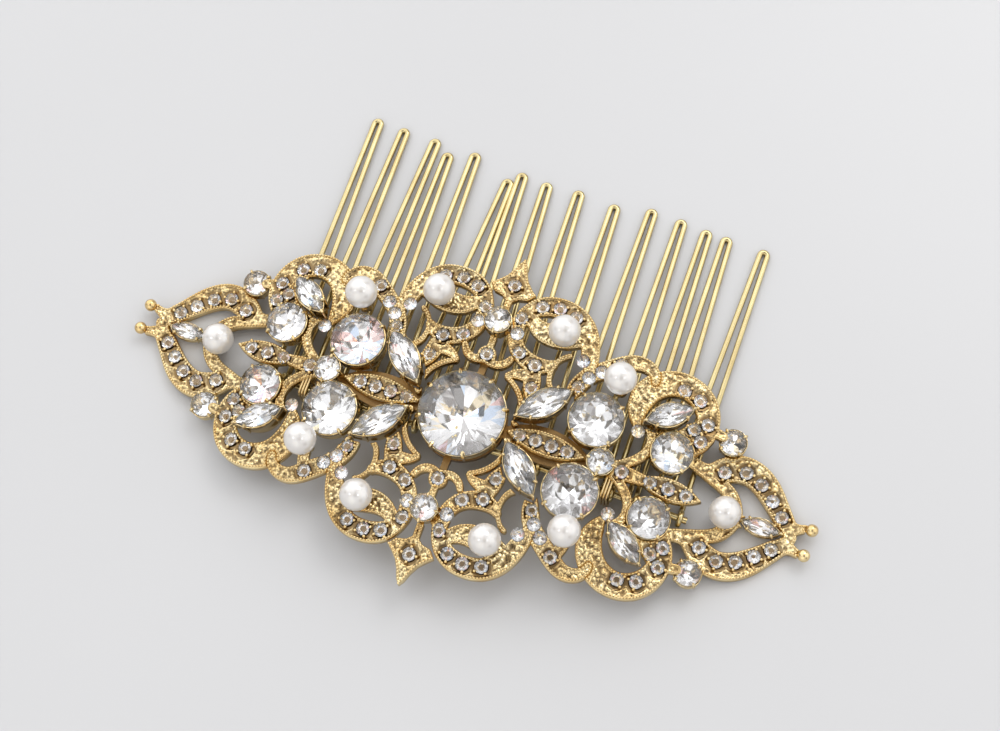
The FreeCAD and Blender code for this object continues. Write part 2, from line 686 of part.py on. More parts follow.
def rounded_loop(wire, corner, radius):
    """A closed loop of round wire with rounded corners, in a plane across the comb."""
    corners = [vertex.Point for vertex in wire.OrderedVertexes]
    edges = []
    for index, place in enumerate(corners):
        before = corners[index - 1]
        after = corners[(index + 1) % len(corners)]
        into = (before - place).normalize() * corner
        onward = (after - place).normalize() * corner
        middle = place + (into + onward) * (1 - math.sqrt(0.5))
        edges.append(Part.Arc(place + into, middle, place + onward).toShape())
        edges.append(Part.makeLine(place + onward, after - (after - place).normalize() * corner))
    path = Part.Wire(edges)
    start = edges[0].Vertexes[0].Point
    heading = (corners[0] - start).normalize()
    section = Part.Wire(Part.makeCircle(radius, start, heading))
    return path.makePipeShell([section], True, False)


LASHING_PLACES = (-22.9, -8.3, 8.1, 22.1)
make_rail()
for index, tooth in enumerate(TEETH, start=1):
    make_tooth(index, *tooth)
lashing_wires = keep(make_lashings(), "lashing_wires")

# ------------------------------------------------------------- castings and frame

dome = dome_shell("dome", 0.0, "dome_wall")
lower_dome = dome_shell("lower_dome", dome_wall, "underplate_wall")
wing_sheet = wing_shell()
walls = [
    centre_wall, large_cups, small_cups, accent_cups, drop_cups, petal_cups, crescent_cups, end_cups,
    pearl_posts,
]


def both_sides(*bands):
    """Faces for bands on both sides of the ornament's centre line."""
    faces = []
    for band in bands:
        faces.append(band_face(band))
        faces.append(band_face(mirrored_band(band)))
    return faces


def make_castings():
    """Every cast piece, each cut back to the settings and to the pieces it meets."""
    four_leaf = casting("four_stone_leaf", [lens_face(6.4, 18.2, 1.75)], dome, walls + [axis_pave])
    two_sides("four_stone_leaf", four_leaf, ("right", "left"), Vector(1, 0, 0))

    leaf_faces = [lens_face(25.6, 34.8, 1.6), band_face(LEAF_LINK)] + both_sides(LEAF_STRAP)
    leaf_tools = walls + [axis_pave, crescent_pave, lashing_wires]
    three_leaf = casting("three_stone_leaf", leaf_faces, dome, leaf_tools)
    two_sides("three_stone_leaf", three_leaf, ("right", "left"), Vector(1, 0, 0))

    crest_faces = [
        crest_face(), band_face(CREST_STEM), band_face(CREST_SEAT), band_face(CREST_ARM),
        band_face(swapped_band(CREST_ARM)), disc_face(0.0, 9.5, 1.35),
    ]
    crest = casting("crest", crest_faces, dome, walls + [axis_pave, scroll_pave])
    two_sides("crest", crest, ("rear", "front"), Vector(0, 1, 0))

    inner_bands = (INNER_BAND, INNER_SEAT, FLEUR_STEM, FLEUR_LEAF, CENTRE_RIM, TEARDROP_RIM)
    inner_faces = [band_face(band) for band in inner_bands]
    inner_scroll = casting("inner_pearl_scroll", inner_faces, dome, walls + [scroll_pave, four_leaf, crest])
    four_quadrants("inner_pearl_scroll", inner_scroll)

    outer_faces = [band_face(OUTER_BAND), band_face(OUTER_SEAT)]
    outer_scroll = casting("outer_pearl_scroll", outer_faces, dome, walls + [scroll_pave, inner_scroll])
    four_quadrants("outer_pearl_scroll", outer_scroll)

    crescent_faces = [crescent_face(), band_face(CRESCENT_BAR), band_face(CRESCENT_DROP_LINK)]
    crescent_tools = walls + [crescent_pave, outer_scroll, three_leaf]
    crescent = casting("crescent_scroll", crescent_faces, dome, crescent_tools)
    four_quadrants("crescent_scroll", crescent)

    wing_faces = both_sides(WING_EDGE, WING_STRAP, WING_DROP_LINK)
    wing_faces += [band_face(WING_BRIDGE), disc_face(38.2, 0.0, 1.5)]
    front_crescent = mirror(crescent, "wing_neighbour", Vector(0, 1, 0))
    wing_tools = walls + [pearls, wing_pave, three_leaf, crescent, front_crescent]
    wing_plate = casting("end_wing_plate", wing_faces, wing_sheet, wing_tools)
    pieces = [wing_plate]
    ball_along, ball_across, ball_height = TIP_BALL_CENTRE
    for side in (1, -1):
        ball_place = Placement(point(ball_along, ball_across * side, ball_height), Rotation())
        pieces.append(primitive("Part::Sphere", "tip_ball_%d" % len(pieces), ball_place,
                                Radius="dims.tip_ball_radius"))
    wing = combine("Part::MultiFuse", "end_wing", pieces)
    two_sides("end_wing", wing, ("right", "left"), Vector(1, 0, 0))

    ring = disc_face(0.0, 0.0, 6.2).cut(disc_face(0.0, 0.0, 4.4)).Faces[0]
    frame_faces = [ring, lens_face(5.0, 19.0, 2.6), lens_face(-19.0, -5.0, 2.6)] + both_sides(FRAME_ARM)
    frame_tools = walls + [lashing_wires]
    keep(casting("centre_frame_plate", frame_faces, lower_dome, frame_tools), "centre_frame")


make_castings()

# ------------------------------------------------------------- checks and output


def check_and_export():
    """Refuse failed features, then write each sub-part to its own file."""
    doc.recompute()
    for feature in doc.Objects:
        faults = [state for state in feature.State if state in ("Invalid", "Error")]
        if faults:
            raise RuntimeError("%s is %s" % (feature.Label, faults))
    os.makedirs("parts", exist_ok=True)
    for feature in sub_parts:
        shape = feature.Shape
        if shape.isNull() or not shape.isValid() or not shape.Solids:
            raise RuntimeError("bad shape: " + feature.Label)
        shape.exportStep("parts/%s.step" % feature.Label)
        print("%-28s solids %3d  volume %8.2f" % (feature.Label, len(shape.Solids), shape.Volume))


check_and_export()
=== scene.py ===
import math
import random

import bpy
import numpy as np
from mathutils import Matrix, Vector, noise


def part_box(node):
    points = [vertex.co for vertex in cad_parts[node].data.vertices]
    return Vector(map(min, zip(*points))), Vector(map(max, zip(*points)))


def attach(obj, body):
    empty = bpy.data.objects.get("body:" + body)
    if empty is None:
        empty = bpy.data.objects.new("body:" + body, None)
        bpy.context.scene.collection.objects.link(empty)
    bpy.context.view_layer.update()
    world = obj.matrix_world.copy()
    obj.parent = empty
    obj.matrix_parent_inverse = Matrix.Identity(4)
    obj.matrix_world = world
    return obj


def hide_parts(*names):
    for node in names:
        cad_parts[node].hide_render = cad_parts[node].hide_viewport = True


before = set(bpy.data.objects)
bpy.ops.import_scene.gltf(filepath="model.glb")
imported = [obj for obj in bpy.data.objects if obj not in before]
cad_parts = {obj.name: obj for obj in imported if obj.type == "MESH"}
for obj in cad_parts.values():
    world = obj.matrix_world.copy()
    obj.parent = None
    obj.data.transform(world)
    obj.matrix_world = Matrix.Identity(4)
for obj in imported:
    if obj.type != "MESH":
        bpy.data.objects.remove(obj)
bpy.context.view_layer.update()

MM = 0.001
SIDES = ("rear_right", "rear_left", "front_right", "front_left")
DOME_CASTINGS = [
    "%s_%s" % (name, side)
    for name in ("inner_pearl_scroll", "outer_pearl_scroll", "crescent_scroll") for side in SIDES
] + [
    "four_stone_leaf_right", "four_stone_leaf_left", "three_stone_leaf_right", "three_stone_leaf_left",
    "crest_rear", "crest_front",
]
WING_CASTINGS = ["end_wing_right", "end_wing_left"]
PAVE_NODES = ["wing_pave_stones", "crescent_pave_stones", "scroll_pave_stones", "axis_pave_stones"]
# Round settings: stones, cups, depth of the cup, claws, turn of the first claw in claw steps.
ROUND_SETTINGS = [
    ("centre_crystal", "centre_cup", 2.1, 8, 0.5), ("large_crystals", "large_cups", 2.7, 4, 0.5),
    ("small_crystals", "small_cups", 2.2, 4, 0.5), ("accent_crystals", "accent_cups", 2.75, 4, 0.0),
    ("drop_crystals", "drop_cups", 2.0, 4, 0.5),
]
# Pointed oval settings: stones, cups, depth of the cup.
NAVETTE_SETTINGS = [
    ("petal_crystals", "petal_cups", 3.4), ("crescent_navette_crystals", "crescent_navette_cups", 3.3),
    ("end_navette_crystals", "end_navette_cups", 1.5),
]


# ------------------------------------------------------------ reading the frame

TABLE_ZONE = 0.1  # top share of a stone's height, where its table is looked for
LONG_SPREAD = 1.3  # plan spread ratio above which a stone is a navette
GIRDLE_SHARE = 0.97  # share of a stone's largest reach that only its girdle has


def cad_mesh(node):
    """A CAD node's points in millimetres, merged where they meet, and its triangles."""
    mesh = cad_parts[node].data
    points = np.empty(3 * len(mesh.vertices))
    mesh.vertices.foreach_get("co", points)
    points = points.reshape(-1, 3) / MM
    mesh.calc_loop_triangles()
    corners = np.empty(3 * len(mesh.loop_triangles), np.int64)
    mesh.loop_triangles.foreach_get("vertices", corners)
    _, first, merged = np.unique(np.round(points, 3), axis=0, return_index=True, return_inverse=True)
    triangles = merged.reshape(-1)[corners].reshape(-1, 3)
    a, b, c = triangles.T
    return points[first], triangles[(a != b) & (b != c) & (c != a)]


def island_labels(count, triangles):
    """A label for each point, the same for all points that triangles join."""
    label = np.arange(count)
    while True:
        lowest = label[triangles].min(axis=1)
        joined = label.copy()
        np.minimum.at(joined, triangles.ravel(), np.repeat(lowest, 3))
        joined = joined[joined]
        if (joined == label).all():
            return label
        label = joined


def normals_and_areas(points, triangles):
    """Unit normal and area of each triangle."""
    a, b, c = (points[triangles[:, k]] for k in range(3))
    cross = np.cross(b - a, c - a)
    length = np.maximum(np.linalg.norm(cross, axis=1), 1e-12)
    return cross / length[:, None], length / 2


class Seat:
    """Where one stone stands: girdle centre, axes, half length and half width."""

    def __init__(self, centre, axes, half_length, half_width):
        self.centre, self.axes = centre, axes
        self.half_length, self.half_width = half_length, half_width

    def put(self, points):
        """Points given along, across and up from the girdle centre, set in place."""
        return np.asarray(points) @ self.axes + self.centre


def seats(node):
    """One seat for each separate stone of a CAD node, its Z square to the stone's table."""
    points, triangles = cad_mesh(node)
    label = island_labels(len(points), triangles)
    found = []
    for value in np.unique(label[triangles]):
        mine = triangles[label[triangles[:, 0]] == value]
        cloud = points[np.unique(mine)]
        normal, area = normals_and_areas(points, mine)
        height = points[mine][:, :, 2].mean(axis=1)
        tall = height > height.max() - TABLE_ZONE * np.ptp(height)
        up = normal[np.argmax(area * tall)]
        middle = cloud.mean(axis=0)
        across = np.cross(up, (1.0, 0.0, 0.0))
        across /= np.linalg.norm(across)
        along = np.cross(across, up)
        flat = (cloud - middle) @ np.array([along, across]).T
        spread, turns = np.linalg.eigh(flat.T @ flat)
        if spread[1] > LONG_SPREAD * spread[0]:
            along = turns[0, 1] * along + turns[1, 1] * across
            across = np.cross(up, along)
        local = (cloud - middle) @ np.array([along, across, up]).T
        reach = np.linalg.norm(local[:, :2], axis=1)
        girdle = local[reach > GIRDLE_SHARE * reach.max(), 2].mean()
        found.append(Seat(middle + girdle * up, np.array([along, across, up]),
                          np.abs(local[:, 0]).max(), np.abs(local[:, 1]).max()))
    return found


def pearl_centres():
    """Centre and radius of each pearl."""
    points, triangles = cad_mesh("pearls")
    label = island_labels(len(points), triangles)
    found = []
    for value in np.unique(label[triangles]):
        cloud = points[label == value]
        low, high = cloud.min(axis=0), cloud.max(axis=0)
        found.append(((low + high) / 2, (high - low).max() / 2))
    return found


# ------------------------------------------------------------------- materials

GLOSS_WEAR = 0.4  # how far a metal's roughness strays, as a share of it
GRAIN_HEIGHT = 0.00003  # metres


def node_material(name):
    """A new node material: its tree, principled shader and object coordinates."""
    material = bpy.data.materials.new(name)
    material.use_nodes = True
    tree = material.node_tree
    shader = tree.nodes["Principled BSDF"]
    place = tree.nodes.new("ShaderNodeTexCoord").outputs["Object"]
    return material, tree, shader, place


def add_noise(tree, place, scale):
    """Cloudy noise from 0 to 1, its scale in cycles per metre."""
    texture = tree.nodes.new("ShaderNodeTexNoise")
    texture.inputs["Scale"].default_value = scale
    texture.inputs["Detail"].default_value = 3.0
    tree.links.new(place, texture.inputs["Vector"])
    return texture.outputs["Fac"]


def add_range(tree, value, low, high):
    """Stretch a 0 to 1 value to low to high."""
    node = tree.nodes.new("ShaderNodeMapRange")
    node.inputs["To Min"].default_value = low
    node.inputs["To Max"].default_value = high
    tree.links.new(value, node.inputs["Value"])
    return node.outputs["Result"]


def add_mix(tree, factor, first, second):
    """Mix two colours, each a colour or a socket."""
    node = tree.nodes.new("ShaderNodeMix")
    node.data_type = "RGBA"
    tree.links.new(factor, node.inputs["Factor"])
    for socket, colour in ((node.inputs[6], first), (node.inputs[7], second)):
        if isinstance(colour, tuple):
            socket.default_value = colour + (1.0,)
        else:
            tree.links.new(colour, socket)
    return node.outputs[2]


def add_bump(tree, shader, height, strength, distance):
    """Fine relief in the shading."""
    node = tree.nodes.new("ShaderNodeBump")
    node.inputs["Strength"].default_value = strength
    node.inputs["Distance"].default_value = distance
    tree.links.new(height, node.inputs["Height"])
    tree.links.new(node.outputs["Normal"], shader.inputs["Normal"])


def gold_material(name, pale, deep, roughness, grain, patina_colour=None):
    """Plated metal: cloudy colour, fine wear in its gloss, and, given a shade colour, painted shade mixed
    in from the mesh's per-point values.
    """
    material, tree, shader, place = node_material(name)
    shader.inputs["Metallic"].default_value = 1.0
    colour = add_mix(tree, add_range(tree, add_noise(tree, place, 260.0), -0.6, 1.6), pale, deep)
    gloss = add_range(tree, add_noise(tree, place, 1900.0), roughness * (1 - GLOSS_WEAR),
                      roughness * (1 + GLOSS_WEAR))
    # Painted shade: the mesh's per-point value darkens the colour towards a dark brown.
    if patina_colour is not None:
        attribute = tree.nodes.new("ShaderNodeAttribute")
        attribute.attribute_name = "patina"
        colour = add_mix(tree, attribute.outputs["Fac"], colour, patina_colour)
    tree.links.new(colour, shader.inputs["Base Color"])
    tree.links.new(gloss, shader.inputs["Roughness"])
    add_bump(tree, shader, add_noise(tree, place, 2600.0), grain, GRAIN_HEIGHT)
    return material


def glass_material():
    """Clear crystal with a trace of cloudiness."""
    material, tree, shader, place = node_material("crystal_glass")
    colour = add_mix(tree, add_noise(tree, place, 300.0), (0.985, 0.985, 1.0), (1.0, 0.99, 0.985))
    tree.links.new(colour, shader.inputs["Base Color"])
    shader.inputs["Transmission Weight"].default_value = 1.0
    shader.inputs["Roughness"].default_value = 0.0
    shader.inputs["IOR"].default_value = 1.56
    return material


def foil_material():
    """The silvered back of a crystal, each facet painted with its own reflection brightness or fire tint.
    """
    material, tree, shader, place = node_material("crystal_foil")
    # Each facet's colour is a painted reflection, read from a per-face attribute.
    attribute = tree.nodes.new("ShaderNodeAttribute")
    attribute.attribute_name = "facet"
    tree.links.new(attribute.outputs["Color"], shader.inputs["Base Color"])
    shader.inputs["Metallic"].default_value = 0.8
    tree.links.new(add_range(tree, add_noise(tree, place, 500.0), 0.03, 0.1), shader.inputs["Roughness"])
    return material


def pearl_material():
    """Nacre coat: warm white and glossy, faintly clouded."""
    material, tree, shader, place = node_material("pearl_nacre")
    cloud = add_range(tree, add_noise(tree, place, 420.0), 0.0, 1.0)
    colour = add_mix(tree, cloud, (0.58, 0.547, 0.513), (0.645, 0.62, 0.592))
    tree.links.new(colour, shader.inputs["Base Color"])
    tree.links.new(add_range(tree, cloud, 0.14, 0.24), shader.inputs["Roughness"])
    shader.inputs["Subsurface Weight"].default_value = 0.15
    shader.inputs["Subsurface Radius"].default_value = (0.001, 0.0008, 0.0006)
    shader.inputs["Coat Weight"].default_value = 0.9
    shader.inputs["Coat IOR"].default_value = 2.6
    shader.inputs["Coat Roughness"].default_value = 0.07
    shader.inputs["Sheen Weight"].default_value = 0.1
    return material


def floor_material():
    """White glazed surface with a barely cloudy tone."""
    material, tree, shader, place = node_material("pale_floor")
    cloud = add_noise(tree, place, 9.0)
    colour = add_mix(tree, cloud, (0.503, 0.501, 0.504), (0.542, 0.541, 0.546))
    tree.links.new(colour, shader.inputs["Base Color"])
    tree.links.new(add_range(tree, cloud, 0.32, 0.42), shader.inputs["Roughness"])
    return material


# Dark brown of the painted shade in a casting's recesses, pits, milgrain groove, walls and underside.
SHADE_PAINT_BROWN = (0.10, 0.05, 0.016)
CAST_GOLD = gold_material(
    "cast_gold_painted_shade", (0.82, 0.68, 0.395), (0.66, 0.455, 0.19), 0.21, 0.15, SHADE_PAINT_BROWN)
SETTING_GOLD = gold_material("setting_gold_polished", (0.82, 0.69, 0.42), (0.66, 0.48, 0.22), 0.15, 0.1)
# The centre frame's gold is a dark brown copy of the gold, painted shade for the shade it lies in under
# the castings.
FRAME_GOLD_SHADE_PAINT = gold_material("frame_gold_painted_shade", (0.22, 0.135, 0.055), (0.15, 0.085, 0.032), 0.3, 0.6)
WIRE_GOLD = gold_material("drawn_comb_wire", (0.61, 0.52, 0.28), (0.50, 0.39, 0.19), 0.2, 0.06)
LASHING_GOLD = gold_material("thin_lashing_wire", (0.74, 0.60, 0.34), (0.60, 0.43, 0.21), 0.22, 0.1)
GLASS = glass_material()
FOIL = foil_material()
NACRE = pearl_material()


# ---------------------------------------------------------------- mesh building


class Soup:
    """Points and faces gathered for one piece: a painted shade value for each point, a painted reflection
    tint for each face.
    """

    def __init__(self):
        self.points, self.faces, self.patina, self.materials, self.painted_reflections = [], [], [], [], []
        self.count = 0

    def add(self, points, faces, patina=0.0, material=0, painted_reflections=None):
        """Add a shape; material is one slot number, or one for each face."""
        points = np.asarray(points, float)
        self.points.append(points)
        self.patina.append(np.broadcast_to(patina, len(points)))
        start = self.count
        self.faces.extend([[start + corner for corner in face] for face in faces])
        self.materials.extend([material] * len(faces) if isinstance(material, int) else material)
        self.painted_reflections.extend(painted_reflections if painted_reflections is not None else [(1.0, 1.0, 1.0)] * len(faces))
        self.count += len(points)


def build(name, soup, materials, replaced, smooth_angle=None):
    """Make a piece from a soup: it rides on the comb's one body and replaces CAD nodes."""
    mesh = bpy.data.meshes.new(name)
    mesh.from_pydata((np.concatenate(soup.points) * MM).tolist(), [], soup.faces)
    for material in materials:
        mesh.materials.append(material)
    mesh.polygons.foreach_set("material_index", soup.materials)
    if smooth_angle is not None:
        mesh.shade_smooth()
        mesh.set_sharp_from_angle(angle=math.radians(smooth_angle))
        # Per-point painted shade, which the cast gold mixes towards dark brown.
        patina = mesh.attributes.new("patina", "FLOAT", "POINT")
        patina.data.foreach_set("value", np.concatenate(soup.patina))
    else:
        mesh.shade_flat()
        # Per-face painted reflections, read by the foil.
        facet = mesh.attributes.new("facet", "FLOAT_COLOR", "FACE")
        facet.data.foreach_set("color", np.array([tint + (1.0,) for tint in soup.painted_reflections]).ravel())
    mesh.update()
    piece = bpy.data.objects.new(name, mesh)
    bpy.context.scene.collection.objects.link(piece)
    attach(piece, "root")
    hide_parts(*replaced)


def sphere_template(segments, rings):
    """A unit sphere as points and faces, poles up and down Z."""
    points = [(0.0, 0.0, 1.0)]
    for ring in range(1, rings):
        tilt = math.pi * ring / rings
        for step in range(segments):
            turn = 2 * math.pi * step / segments
            reach = math.sin(tilt)
            points.append((reach * math.cos(turn), reach * math.sin(turn), math.cos(tilt)))
    points.append((0.0, 0.0, -1.0))
    last = len(points) - 1
    faces = [[0, 1 + step, 1 + (step + 1) % segments] for step in range(segments)]
    for ring in range(rings - 2):
        top, low = 1 + ring * segments, 1 + (ring + 1) * segments
        for step in range(segments):
            onward = (step + 1) % segments
            faces.append([top + step, low + step, low + onward, top + onward])
    low = 1 + (rings - 2) * segments
    faces += [[last, low + (step + 1) % segments, low + step] for step in range(segments)]
    return np.array(points), faces


BEAD_POINTS, BEAD_FACES = sphere_template(8, 5)
TUBE_SIDES = 8
ASKEW = (0.3, 0.5, 0.81)  # a direction that no tube starts along


def add_bead(soup, centre, radius):
    """A tiny ball."""
    soup.add(BEAD_POINTS * radius + np.asarray(centre), BEAD_FACES)


def add_tube(soup, path, radii):
    """A closed tube along a path, its radius given at each point."""
    path = np.asarray(path, float)
    heading = np.gradient(path, axis=0)
    heading /= np.linalg.norm(heading, axis=1)[:, None]
    side = np.cross(heading[0], ASKEW)
    points = []
    for centre, way, radius in zip(path, heading, radii):
        side = side - way * side.dot(way)
        side /= np.linalg.norm(side)
        other = np.cross(way, side)
        for step in range(TUBE_SIDES):
            turn = 2 * math.pi * step / TUBE_SIDES
            points.append(centre + radius * (math.cos(turn) * side + math.sin(turn) * other))
    faces = []
    for ring in range(len(path) - 1):
        for step in range(TUBE_SIDES):
            onward = (step + 1) % TUBE_SIDES
            low, high = ring * TUBE_SIDES, (ring + 1) * TUBE_SIDES
            faces.append([low + step, low + onward, high + onward, high + step])
    faces.append(list(range(TUBE_SIDES))[::-1])
    faces.append([(len(path) - 1) * TUBE_SIDES + step for step in range(TUBE_SIDES)])
    soup.add(points, faces)


# ---------------------------------------------------------------------- stones


PLAIN_CUT, FINE_CUT = 8, 12  # sides of a stone's table
# The cut's reaches and heights, as shares of the girdle's radius.
TABLE_REACH, STAR_REACH, LOWER_REACH = 0.56, 0.80, 0.45
TABLE_HEIGHT, GIRDLE_EDGE, CULET_HEIGHT = 0.36, 0.04, -0.76
CROWN_SLOPE, PAVILION_SLOPE = 0.32 / 0.44, 0.72
# Painted reflections in the foil: facets up to each running share are painted bright, grey or dark, and
# the rest get a painted tint of coloured fire.
BRIGHT_SHARE, GREY_SHARE, DARK_SHARE = 0.72, 0.84, 0.89
PAINTED_FIRE = [(1.0, 0.72, 0.68), (0.74, 0.85, 1.0), (1.0, 0.88, 0.64)]


def brilliant(sides):
    """A unit brilliant in (angle, reach, height): points, facets, count of crown facets."""
    step = math.pi / sides
    ring = 2 * sides
    star_height = TABLE_HEIGHT - CROWN_SLOPE * (STAR_REACH * math.cos(step) - TABLE_REACH)
    lower_height = CULET_HEIGHT + PAVILION_SLOPE * LOWER_REACH * math.cos(step)
    points = [(2 * k * step, TABLE_REACH, TABLE_HEIGHT) for k in range(sides)]
    points += [((2 * k + 1) * step, STAR_REACH, star_height) for k in range(sides)]
    for height in (GIRDLE_EDGE, -GIRDLE_EDGE):
        points += [(k * step, 1.0, height) for k in range(ring)]
    points += [((2 * k + 1) * step, LOWER_REACH, lower_height) for k in range(sides)]
    points.append((0.0, 0.0, CULET_HEIGHT))
    # Where each kind of point starts: table, star, upper and lower girdle, pavilion, culet.
    table, star, upper, under, low, culet = 0, sides, ring, 2 * ring, 3 * ring, 3 * ring + sides
    facets = [list(range(sides))]
    for k in range(sides):
        after, before = (k + 1) % sides, (k - 1) % sides
        facets.append([table + k, star + k, table + after])
        facets.append([table + k, star + before, upper + 2 * k, star + k])
        facets.append([star + k, upper + 2 * k, upper + 2 * k + 1])
        facets.append([star + k, upper + 2 * k + 1, upper + (2 * k + 2) % ring])
    crown = len(facets)
    for k in range(ring):
        after = (k + 1) % ring
        facets.append([upper + k, under + k, under + after, upper + after])
    for k in range(sides):
        before = (k - 1) % sides
        facets.append([culet, low + k, under + 2 * k, low + before])
        facets.append([low + k, under + 2 * k + 1, under + 2 * k])
        facets.append([low + k, under + (2 * k + 2) % ring, under + 2 * k + 1])
    return points, facets, crown


def outline(angle, pointed):
    """A unit round outline, or a pointed oval one."""
    across = math.sin(angle)
    return math.cos(angle), across * abs(across) if pointed else across


def painted_facet_reflection(dice):
    """Painted reflection seen in one foil facet: mostly bright, some grey, a few dark or tinted with
    painted fire.
    """
    pick = dice.random()
    if pick < BRIGHT_SHARE:
        shade = dice.uniform(0.95, 1.0)
        return (shade, shade, shade)
    if pick < GREY_SHARE:
        shade = dice.uniform(0.72, 0.88)
        return (shade, shade, shade)
    if pick < DARK_SHARE:
        shade = dice.uniform(0.22, 0.42)
        return (shade, shade * 0.96, shade * 0.92)
    return dice.choice(PAINTED_FIRE)


def stones(node, pointed):
    """Faceted stones in every seat of a CAD node, the centre one with the finest cut."""
    cut_points, cut_facets, crown = brilliant(FINE_CUT if node == "centre_crystal" else PLAIN_CUT)
    glass_then_foil = [0] * crown + [1] * (len(cut_facets) - crown)
    dice = random.Random(node)
    soup = Soup()
    for seat in seats(node):
        width = seat.half_width if pointed else seat.half_length
        local = []
        for angle, reach, height in cut_points:
            x, y = outline(angle, pointed)
            local.append((seat.half_length * reach * x, width * reach * y, height * width))
        # Each facet gets its own painted reflection.
        painted_reflections = [painted_facet_reflection(dice) for _ in cut_facets]
        soup.add(seat.put(local), cut_facets, painted_reflections=painted_reflections, material=glass_then_foil)
    build(node + "_cut", soup, [GLASS, FOIL], [node])


# ------------------------------------------------------------------------ cups


WALL_STATIONS = 48
POINT_STRETCH = 1.5  # how much further a navette's wall stands out at its points
CLAW_SLOPE = 0.73  # rise over run of the crown that a claw lies on
NAVETTE_CLAWS = (0, 52, 128, 180, 232, 308)  # degrees round the stone
NAVETTE_CLAW_RADIUS = 0.19
CUP_SMOOTHING = 40


def add_wall(soup, seat, half_length, half_width, depth, pointed):
    """The cup's wall: a rolled rim under the girdle, a groove, and a tapered skirt."""
    profile = [
        (-0.30, -0.10), (-0.12, -0.03), (0.02, -0.07), (0.06, -0.20), (0.0, -0.33), (-0.08, -0.45),
        (-0.10, -0.6 * depth), (-0.02, -0.72 * depth), (-0.04, -0.82 * depth), (-0.16, -depth),
        (-0.42, -depth), (-0.36, -0.5 * depth),
    ]
    stretch = POINT_STRETCH if pointed else 1.0
    points = []
    for station in range(WALL_STATIONS):
        x, y = outline(2 * math.pi * station / WALL_STATIONS, pointed)
        for offset, height in profile:
            points.append(((half_length + offset * stretch) * x, (half_width + offset) * y, height))
    faces = []
    count = len(profile)
    for station in range(WALL_STATIONS):
        here, onward = station * count, (station + 1) % WALL_STATIONS * count
        for k in range(count):
            after = (k + 1) % count
            faces.append([here + k, here + after, onward + after, onward + k])
    soup.add(seat.put(points), faces)


def add_claw(soup, seat, half_length, half_width, depth, angle, pointed, radius):
    """One claw: up the wall, past the girdle and bent down on the crown."""
    x, y = outline(angle, pointed)
    grip = 0.05 * half_width + 0.2
    rise = CLAW_SLOPE * grip
    # Offset from the girdle, height, share of the claw's radius.
    steps = [
        (0.02, -0.85 * depth, 0.7), (0.06, -0.45 * depth, 0.8), (0.12, -0.1, 0.95), (0.10, 0.16, 1.0),
        (-0.06, 0.30, 1.05), (-grip * 0.7, 0.14 + rise, 1.1), (-grip, 0.10 + rise, 0.8),
        (-grip - 0.1, 0.05 + rise, 0.3),
    ]
    path = [((half_length + offset) * x, (half_width + offset) * y, height) for offset, height, _ in steps]
    add_tube(soup, seat.put(path), [radius * swell for _, _, swell in steps])


def round_cups(stone_node, cup_node, depth, claws, first):
    """The cups of one group of round stones."""
    soup = Soup()
    for seat in seats(stone_node):
        reach = seat.half_length
        claw_radius = 0.15 + 0.022 * reach
        add_wall(soup, seat, reach, reach, depth, False)
        for claw in range(claws):
            angle = 2 * math.pi * (claw + first) / claws
            add_claw(soup, seat, reach, reach, depth, angle, False, claw_radius)
    build(cup_node + "_detail", soup, [SETTING_GOLD], [cup_node], CUP_SMOOTHING)


def navette_cups(stone_node, cup_node, depth):
    """The cups of one group of pointed oval stones."""
    soup = Soup()
    for seat in seats(stone_node):
        length, width = seat.half_length, seat.half_width
        add_wall(soup, seat, length, width, depth, True)
        for degrees in NAVETTE_CLAWS:
            add_claw(soup, seat, length, width, depth, math.radians(degrees), True, NAVETTE_CLAW_RADIUS)
    build(cup_node + "_detail", soup, [SETTING_GOLD], [cup_node], CUP_SMOOTHING)


# -------------------------------------------------------------------- castings

GRID = 0.12  # pitch of the grid that a casting is meshed on
# Height over the cast face, at distances in from the edge: a rolled rim, then a sunk floor.
RIM_PROFILE = ([0.0, 0.07, 0.16, 0.34, 0.5], [-0.16, -0.04, 0.0, 0.0, -0.24])
PAVE_REACH, SEAT_DEPTH, SEAT_FADE = 1.0, 0.4, 0.12
NUGGET_PITCH, NUGGET_RISE = 0.52, 0.34
# Hammered grain begins at a distance from stones and edges, and fades in over a width.
STONE_CLEAR, STONE_FADE, EDGE_CLEAR, EDGE_FADE = 1.35, 0.3, 0.3, 0.2
GRAIN_SHARE = 0.7  # how much of the rim's profile the grain takes away
# Strength of the painted shade: in sunk recesses, in pits between lumps, in the groove along the milgrain,
# and under the sheet.
RECESS_SHADE_PAINT, PIT_SHADE_PAINT, GROOVE_SHADE_PAINT, UNDERSIDE_SHADE_PAINT = 0.85, 0.8, 0.55, 0.4
GROOVE_WIDTH = 0.16
BEAD_LIFT = 0.06  # height of a tiny bead's centre over the metal
MILGRAIN_RADIUS, MILGRAIN_PITCH, MILGRAIN_INSET = 0.2, 0.46, 0.24
SHORTEST_ROW = 6  # milgrain beads
MILGRAIN_ROOM, CUP_ROOM = 0.13, 0.1
PRONG_RADIUS, PRONG_REACH = 0.25, 1.08
PRONG_TURNS = range(0, 90, 10)  # degrees that a set of four prongs may be turned
PRONG_ROOM, AMPLE_ROOM = 0.02, 0.3
SEAT_LOOP, SEAT_MISS = 2.3, 0.4  # a seat's loop is narrower, and centred nearer to its stone
STONE_ON_METAL = 0.8  # a stone this near to a casting's mesh stands on it
OUTLINE_SAMPLING = 7  # every so many mesh points are enough to find those stones
CASTING_SMOOTHING = 55

TIP_BALL_RADIUS, TIP_BALL_HEIGHT, TIP_BALL_ACROSS = 0.9, 2.0, 1.85
TIP_BALL_SKIN = 1.03  # share of the radius inside which a face belongs to a ball

